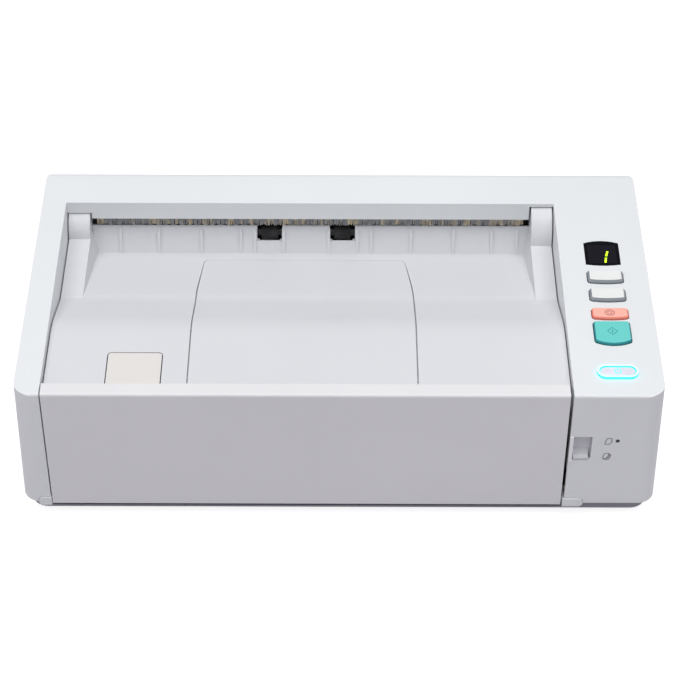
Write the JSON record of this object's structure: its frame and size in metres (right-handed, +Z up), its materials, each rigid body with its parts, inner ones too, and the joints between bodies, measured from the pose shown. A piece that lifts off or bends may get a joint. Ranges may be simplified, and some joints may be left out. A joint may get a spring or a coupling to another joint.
{
  "type": "document scanner",
  "caption": "Low desktop sheet-fed document scanner with a drop-down front door, a hinged upper unit with a recessed eject tray and a side key console.",
  "frame": {"origin": "middle of the footprint on the standing surface, at the underside of the rubber feet", "axes": "+X to the right seen from the front, front door towards -Y, +Z up"},
  "size_m": [0.2908, 0.1581, 0.0831],
  "materials": {
    "cover_plastic": "fine texture",
    "tray_plastic": "fine texture",
    "door_plastic": "fine texture",
    "liner_plastic": "fine texture",
    "pan_plastic": "fine texture",
    "guide_plastic": "satin",
    "inner_plastic": "satin",
    "key_white": "satin",
    "key_open": "satin",
    "key_teal": "satin",
    "key_salmon": "satin",
    "key_power": "satin",
    "display": "gloss",
    "light_ring": "clear, lit",
    "rubber_black": "matt",
    "rubber_grey": "matt",
    "roller_plastic": "satin",
    "steel": "satin",
    "sensor_body": "matt",
    "sensor_glass": "polished",
    "board_green": "satin",
    "brush_fibre": "matt",
    "connector_black": "satin",
    "gear_plastic": "satin",
    "plate_plastic": "satin"
  },
  "bodies": {
    "base": {"base_pan": "pan_plastic", "rubber_feet": "rubber_grey", "cover_screws": "steel", "outer_cover": "cover_plastic", "hinge_brackets": "steel", "hinge_pins": "steel", "lower_paper_guide": "guide_plastic", "rear_turn_guide": "guide_plastic", "lower_image_sensor": "sensor_body", "lower_sensor_glass": "sensor_glass", "door_hinge_caps": "cover_plastic", "lever_jamb": "inner_plastic", "display_window": "display", "power_light_ring": "light_ring", "console_board": "board_green", "static_brush": "brush_fibre", "main_board": "board_green", "motor_bracket": "steel", "motor_body": "steel", "power_jack": "connector_black", "usb_shell": "steel", "usb_tongue": "connector_black", "feed_belt": "rubber_black", "rear_belt": "rubber_black", "eject_belt": "rubber_black"},
    "upper_unit": {"eject_tray": "tray_plastic", "upper_paper_guide": "guide_plastic", "upper_image_sensor": "sensor_body", "upper_sensor_glass": "sensor_glass"},
    "tray_panel": {"tray_extension_panel": "tray_plastic"},
    "open_key": {"open_key": "key_open"},
    "latch": {"latch_rod": "guide_plastic"},
    "front_door": {"door_panel": "door_plastic", "door_liner": "liner_plastic"},
    "guide_left": {"paper_guide_left": "liner_plastic"},
    "guide_right": {"paper_guide_right": "liner_plastic"},
    "guide_pinion": {"guide_pinion": "gear_plastic"},
    "extension_plate": {"feed_extension_plate": "plate_plastic"},
    "feed_lever": {"feed_lever": "inner_plastic"},
    "upper_key": {"upper_key": "key_white"},
    "lower_key": {"lower_key": "key_white"},
    "stop_key": {"stop_key": "key_salmon"},
    "start_key": {"start_key": "key_teal"},
    "power_key": {"power_key": "key_power"},
    "feed_roller": {"feed_roller": "roller_plastic", "feed_tyres": "rubber_black"},
    "front_transport": {"front_transport_roller": "roller_plastic", "front_transport_tyres": "rubber_black"},
    "rear_transport": {"rear_transport_roller": "roller_plastic", "rear_transport_tyres": "rubber_black"},
    "retard_roller": {"retard_roller": "roller_plastic", "retard_tyres": "rubber_black"},
    "front_idler": {"front_idler_roller": "gear_plastic"},
    "rear_idler": {"rear_idler_roller": "gear_plastic"},
    "eject_roller": {"eject_roller": "roller_plastic", "eject_tyres": "rubber_black"},
    "eject_drive": {"eject_drive_roller": "roller_plastic"},
    "eject_idler_gear": {"eject_idler_gear": "gear_plastic"},
    "lay_shaft": {"lay_shaft": "gear_plastic"},
    "motor_pinion": {"motor_pinion": "gear_plastic"}
  },
  "joints": [
    {"name": "upper_unit_hinge", "type": "hinge", "parent": "base", "child": "upper_unit", "pos_m": [0, 0.0567, 0.06494], "axis": [-1, 0, 0], "range_deg": [0, 55]},
    {"name": "tray_panel_hinge", "type": "hinge", "parent": "upper_unit", "child": "tray_panel", "pos_m": [0, -0.0649, 0.07226], "axis": [1, 0, 0], "range_deg": [0, 120]},
    {"name": "open_key_press", "type": "slide", "parent": "upper_unit", "child": "open_key", "axis": [0, 0, -1], "range_m": [0, 0.002], "stiffness_N_per_m": 300, "springref_m": -0.001},
    {"name": "latch_turn", "type": "hinge", "parent": "upper_unit", "child": "latch", "pos_m": [0, -0.043, 0.047], "axis": [1, 0, 0], "range_deg": [0, 16]},
    {"name": "front_door_hinge", "type": "hinge", "parent": "base", "child": "front_door", "pos_m": [0, -0.0742, 0.0118], "axis": [1, 0, 0], "range_deg": [0, 65]},
    {"name": "guide_right_slide", "type": "slide", "parent": "front_door", "child": "guide_right", "axis": [-1, 0, 0], "range_m": [0, 0.072]},
    {"name": "guide_left_slide", "type": "slide", "parent": "front_door", "child": "guide_left", "axis": [1, 0, 0], "range_m": [0, 0.072]},
    {"name": "guide_pinion_turn", "type": "hinge", "parent": "front_door", "child": "guide_pinion", "pos_m": [-0.0165, -0.0666, 0.024], "axis": [0, -1, 0], "range_deg": [0, 700]},
    {"name": "extension_plate_slide", "type": "slide", "parent": "front_door", "child": "extension_plate", "axis": [0, 0, 1], "range_m": [0, 0.03]},
    {"name": "feed_lever_slide", "type": "slide", "parent": "base", "child": "feed_lever", "axis": [0, 0, 1], "range_m": [0, 0.009]},
    {"name": "upper_key_press", "type": "slide", "parent": "base", "child": "upper_key", "axis": [0, 0, -1], "range_m": [0, 0.0008], "stiffness_N_per_m": 300, "springref_m": -0.0004},
    {"name": "lower_key_press", "type": "slide", "parent": "base", "child": "lower_key", "axis": [0, 0, -1], "range_m": [0, 0.0008], "stiffness_N_per_m": 300, "springref_m": -0.0004},
    {"name": "stop_key_press", "type": "slide", "parent": "base", "child": "stop_key", "axis": [0, 0, -1], "range_m": [0, 0.0008], "stiffness_N_per_m": 300, "springref_m": -0.0004},
    {"name": "start_key_press", "type": "slide", "parent": "base", "child": "start_key", "axis": [0, 0, -1], "range_m": [0, 0.0008], "stiffness_N_per_m": 300, "springref_m": -0.0004},
    {"name": "power_key_press", "type": "slide", "parent": "base", "child": "power_key", "axis": [0, 0, -1], "range_m": [0, 0.0008], "stiffness_N_per_m": 300, "springref_m": -0.0004},
    {"name": "rear_transport_turn", "type": "hinge", "parent": "base", "child": "rear_transport", "pos_m": [0, 0.03, 0.0134], "axis": [-1, 0, 0], "continuous": true},
    {"name": "front_transport_turn", "type": "hinge", "parent": "base", "child": "front_transport", "pos_m": [0, -0.018, 0.0134], "axis": [-1, 0, 0], "continuous": true},
    {"name": "feed_roller_turn", "type": "hinge", "parent": "base", "child": "feed_roller", "pos_m": [0, -0.038, 0.0125], "axis": [-1, 0, 0], "continuous": true},
    {"name": "lay_shaft_turn", "type": "hinge", "parent": "base", "child": "lay_shaft", "pos_m": [0, 0.0665, 0.04793], "axis": [-1, 0, 0], "continuous": true},
    {"name": "motor_pinion_turn", "type": "hinge", "parent": "base", "child": "motor_pinion", "pos_m": [0, 0.03293, 0.02433], "axis": [-1, 0, 0], "continuous": true},
    {"name": "eject_idler_gear_turn", "type": "hinge", "parent": "base", "child": "eject_idler_gear", "pos_m": [0, 0.0686, 0.05987], "axis": [-1, 0, 0], "continuous": true},
    {"name": "eject_drive_turn", "type": "hinge", "parent": "base", "child": "eject_drive", "pos_m": [0, 0.0621, 0.06709], "axis": [-1, 0, 0], "continuous": true},
    {"name": "eject_roller_turn", "type": "hinge", "parent": "base", "child": "eject_roller", "pos_m": [0, 0.05795, 0.0599], "axis": [-1, 0, 0], "continuous": true},
    {"name": "retard_roller_turn", "type": "hinge", "parent": "upper_unit", "child": "retard_roller", "pos_m": [0, -0.038, 0.0271], "axis": [-1, 0, 0], "continuous": true},
    {"name": "front_idler_turn", "type": "hinge", "parent": "upper_unit", "child": "front_idler", "pos_m": [0, -0.018, 0.0237], "axis": [-1, 0, 0], "continuous": true},
    {"name": "rear_idler_turn", "type": "hinge", "parent": "upper_unit", "child": "rear_idler", "pos_m": [0, 0.03, 0.0237], "axis": [-1, 0, 0], "continuous": true}
  ],
  "couplings": [
    {"joint": "latch_turn", "follows": "open_key_press", "rad_per_m": 135},
    {"joint": "guide_left_slide", "follows": "guide_right_slide", "ratio": 1},
    {"joint": "guide_pinion_turn", "follows": "guide_right_slide", "rad_per_m": 166.67},
    {"joint": "front_transport_turn", "follows": "rear_transport_turn", "ratio": 1},
    {"joint": "feed_roller_turn", "follows": "rear_transport_turn", "ratio": 1},
    {"joint": "lay_shaft_turn", "follows": "rear_transport_turn", "ratio": 1},
    {"joint": "motor_pinion_turn", "follows": "rear_transport_turn", "ratio": -1.8},
    {"joint": "eject_idler_gear_turn", "follows": "rear_transport_turn", "ratio": -1.1429},
    {"joint": "eject_drive_turn", "follows": "rear_transport_turn", "ratio": 1.6},
    {"joint": "eject_roller_turn", "follows": "rear_transport_turn", "ratio": -1.2444},
    {"joint": "retard_roller_turn", "follows": "rear_transport_turn", "ratio": -0.90667},
    {"joint": "front_idler_turn", "follows": "rear_transport_turn", "ratio": -1.2222},
    {"joint": "rear_idler_turn", "follows": "rear_transport_turn", "ratio": -1.2222}
  ]
}
